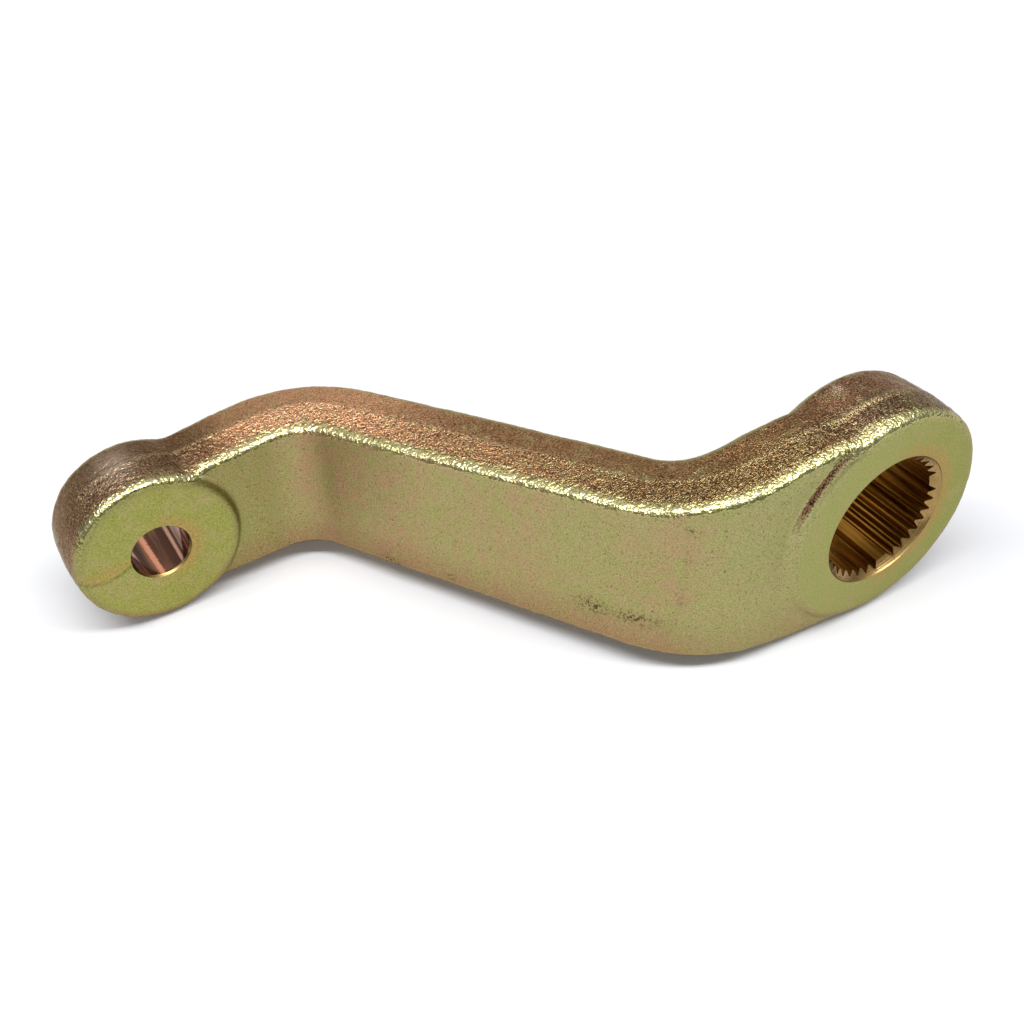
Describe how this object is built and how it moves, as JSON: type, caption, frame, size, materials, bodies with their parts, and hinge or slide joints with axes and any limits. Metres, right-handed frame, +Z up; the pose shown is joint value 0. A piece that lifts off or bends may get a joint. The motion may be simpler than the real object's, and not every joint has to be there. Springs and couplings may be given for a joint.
{
  "type": "pitman arm",
  "caption": "Forged drop pitman arm bent to a Z, with a splined bore for the steering box shaft at the large end and a tapered hole for a ball stud at the small end.",
  "frame": {"origin": "centre of the splined bore, on its machined front face, which is the steering box side", "axes": "+X from the ball stud end to the shaft end, +Y into both bores from their front faces, +Z up with the arm lying on its edge"},
  "size_m": [0.1874, 0.1109, 0.0566],
  "materials": {
    "zinc_chromate_steel": "forged steel with yellow zinc chromate plating, satin, iridescent, coarse on the trimmed edges"
  },
  "bodies": {
    "root": {"pitman_arm": "zinc_chromate_steel"}
  },
  "joints": []
}
